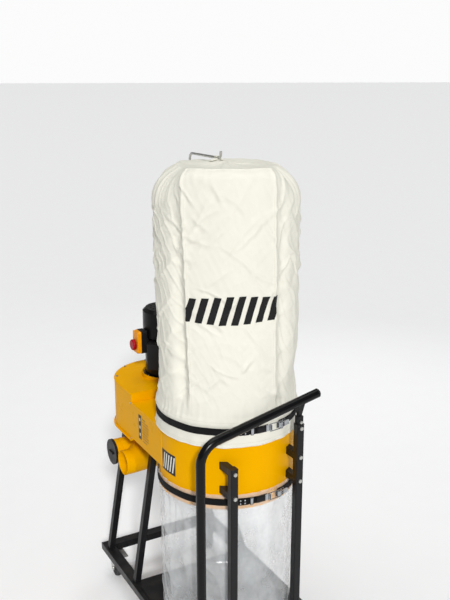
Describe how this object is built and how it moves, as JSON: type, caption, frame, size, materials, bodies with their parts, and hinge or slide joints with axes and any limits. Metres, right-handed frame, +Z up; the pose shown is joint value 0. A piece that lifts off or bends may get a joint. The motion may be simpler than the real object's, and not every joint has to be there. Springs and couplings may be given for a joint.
{
  "type": "dust collector",
  "caption": "Wheeled two-bag dust collector: motor-driven fan feeds a collector ring with a cloth filter bag above and a clear chip bag below, beside a tubular push handle.",
  "frame": {"origin": "on the floor under the middle of the base", "axes": "+Z up, +X from the fan towards the collector ring and the push handle, -Y the operator's side with switch and hose ports"},
  "size_m": [0.948, 0.546, 1.894],
  "materials": {
    "frame_black": "satin paint",
    "body_yellow": "gloss paint",
    "tube_black": "gloss paint",
    "motor_black": "satin paint",
    "zinc_steel": "zinc plated",
    "bright_steel": "nickel plated",
    "laminations": "bare steel",
    "copper": "enamelled copper wire",
    "cast_alloy": "cast",
    "black_plastic": "fine grain",
    "switch_yellow": "moulded",
    "stop_red": "moulded",
    "start_green": "moulded",
    "filter_cloth": "needle felt",
    "strap_web": "woven webbing",
    "chip_film": "clear film",
    "wheel_rubber": "matt"
  },
  "bodies": {
    "root": {"base_frame": "frame_black", "base_plate": "frame_black", "fixed_forks": "zinc_steel", "swivel_plates": "zinc_steel", "collector_ring": "body_yellow", "outlet_duct": "body_yellow", "fan_housing": "body_yellow", "fan_cover": "body_yellow", "housing_screws": "zinc_steel", "fan_stand": "frame_black", "inlet_elbow": "body_yellow", "inlet_branch": "body_yellow", "motor_bell": "motor_black", "motor_shell": "motor_black", "motor_fan_cover": "motor_black", "stator_core": "laminations", "stator_windings": "copper", "motor_bearings": "bright_steel", "motor_bolts": "zinc_steel", "terminal_box": "black_plastic", "cable_gland": "black_plastic", "switch_bracket": "frame_black", "switch_box": "black_plastic", "right_post": "frame_black", "left_post": "frame_black", "push_handle": "tube_black", "handle_end_cap": "black_plastic", "handle_bracket": "frame_black", "bag_hanger": "zinc_steel", "hanger_clips": "zinc_steel", "frame_bolts": "zinc_steel", "filter_bag": "filter_cloth", "bag_loop": "filter_cloth", "chip_bag": "chip_film", "upper_strap": "strap_web", "lower_strap": "strap_web", "latch_plates": "bright_steel"},
    "rotor": {"motor_shaft": "bright_steel", "rotor_core": "laminations", "cooling_fan": "black_plastic", "impeller": "cast_alloy", "impeller_nut": "zinc_steel"},
    "swivel_left": {"swivel_fork_left": "zinc_steel"},
    "swivel_right": {"swivel_fork_right": "zinc_steel"},
    "pedal_left": {"brake_pedal_left": "black_plastic"},
    "pedal_right": {"brake_pedal_right": "black_plastic"},
    "front_wheel_left": {"front_wheel_left": "wheel_rubber"},
    "front_wheel_right": {"front_wheel_right": "wheel_rubber"},
    "rear_wheel_left": {"rear_wheel_left": "wheel_rubber"},
    "rear_wheel_right": {"rear_wheel_right": "wheel_rubber"},
    "flap": {"switch_flap": "switch_yellow"},
    "knob": {"stop_knob": "stop_red"},
    "stop": {"stop_button": "stop_red"},
    "start": {"start_button": "start_green"},
    "upper_lever": {"upper_latch_lever": "bright_steel"},
    "upper_bail": {"upper_latch_bail": "bright_steel"},
    "lower_lever": {"lower_latch_lever": "bright_steel"},
    "lower_bail": {"lower_latch_bail": "bright_steel"},
    "cap": {"port_cap": "black_plastic"}
  },
  "joints": [
    {"name": "rotor_spin", "type": "hinge", "parent": "root", "child": "rotor", "pos_m": [-0.272, -0.037, 1.03], "axis": [0, 0, 1], "continuous": true},
    {"name": "caster_swivel_left", "type": "hinge", "parent": "root", "child": "swivel_left", "pos_m": [0.412, -0.228, 0.09], "axis": [0, 0, 1], "continuous": true},
    {"name": "front_wheel_spin_left", "type": "hinge", "parent": "swivel_left", "child": "front_wheel_left", "pos_m": [0.384, -0.228, 0.04], "axis": [0, 1, 0], "continuous": true},
    {"name": "brake_pedal_left", "type": "hinge", "parent": "swivel_left", "child": "pedal_left", "pos_m": [0.358, -0.228, 0.084], "axis": [0, -1, 0], "range_deg": [0, 16]},
    {"name": "rear_wheel_spin_left", "type": "hinge", "parent": "root", "child": "rear_wheel_left", "pos_m": [-0.412, -0.228, 0.04], "axis": [0, 1, 0], "continuous": true},
    {"name": "caster_swivel_right", "type": "hinge", "parent": "root", "child": "swivel_right", "pos_m": [0.412, 0.228, 0.09], "axis": [0, 0, 1], "continuous": true},
    {"name": "front_wheel_spin_right", "type": "hinge", "parent": "swivel_right", "child": "front_wheel_right", "pos_m": [0.384, 0.228, 0.04], "axis": [0, 1, 0], "continuous": true},
    {"name": "brake_pedal_right", "type": "hinge", "parent": "swivel_right", "child": "pedal_right", "pos_m": [0.358, 0.228, 0.084], "axis": [0, -1, 0], "range_deg": [0, 16]},
    {"name": "rear_wheel_spin_right", "type": "hinge", "parent": "root", "child": "rear_wheel_right", "pos_m": [-0.412, 0.228, 0.04], "axis": [0, 1, 0], "continuous": true},
    {"name": "flap_hinge", "type": "hinge", "parent": "root", "child": "flap", "pos_m": [-0.272, -0.15, 1.1655], "axis": [-1, 0, 0], "range_deg": [0, 95]},
    {"name": "knob_press", "type": "slide", "parent": "flap", "child": "knob", "axis": [0, 1, 0], "range_m": [0, 0.003], "stiffness_N_per_m": 400},
    {"name": "stop_press", "type": "slide", "parent": "root", "child": "stop", "axis": [0, 1, 0], "range_m": [0, 0.003], "stiffness_N_per_m": 300},
    {"name": "start_press", "type": "slide", "parent": "root", "child": "start", "axis": [0, 1, 0], "range_m": [0, 0.003], "stiffness_N_per_m": 300},
    {"name": "upper_lever_hinge", "type": "hinge", "parent": "root", "child": "upper_lever", "pos_m": [0.43075, 0.06569, 0.986], "axis": [0, 0, -1], "range_deg": [0, 130]},
    {"name": "upper_bail_hinge", "type": "hinge", "parent": "upper_lever", "child": "upper_bail", "pos_m": [0.42957, 0.0778, 0.986], "axis": [0, 0, -1], "range_deg": [-130, 0]},
    {"name": "lower_lever_hinge", "type": "hinge", "parent": "root", "child": "lower_lever", "pos_m": [0.43075, 0.06569, 0.725], "axis": [0, 0, -1], "range_deg": [0, 130]},
    {"name": "lower_bail_hinge", "type": "hinge", "parent": "lower_lever", "child": "lower_bail", "pos_m": [0.42957, 0.0778, 0.725], "axis": [0, 0, -1], "range_deg": [-130, 0]},
    {"name": "cap_pull", "type": "slide", "parent": "root", "child": "cap", "axis": [0, -1, 0], "range_m": [0, 0.06]}
  ],
  "couplings": [
    {"joint": "upper_bail_hinge", "follows": "upper_lever_hinge", "ratio": -1},
    {"joint": "lower_bail_hinge", "follows": "lower_lever_hinge", "ratio": -1}
  ]
}
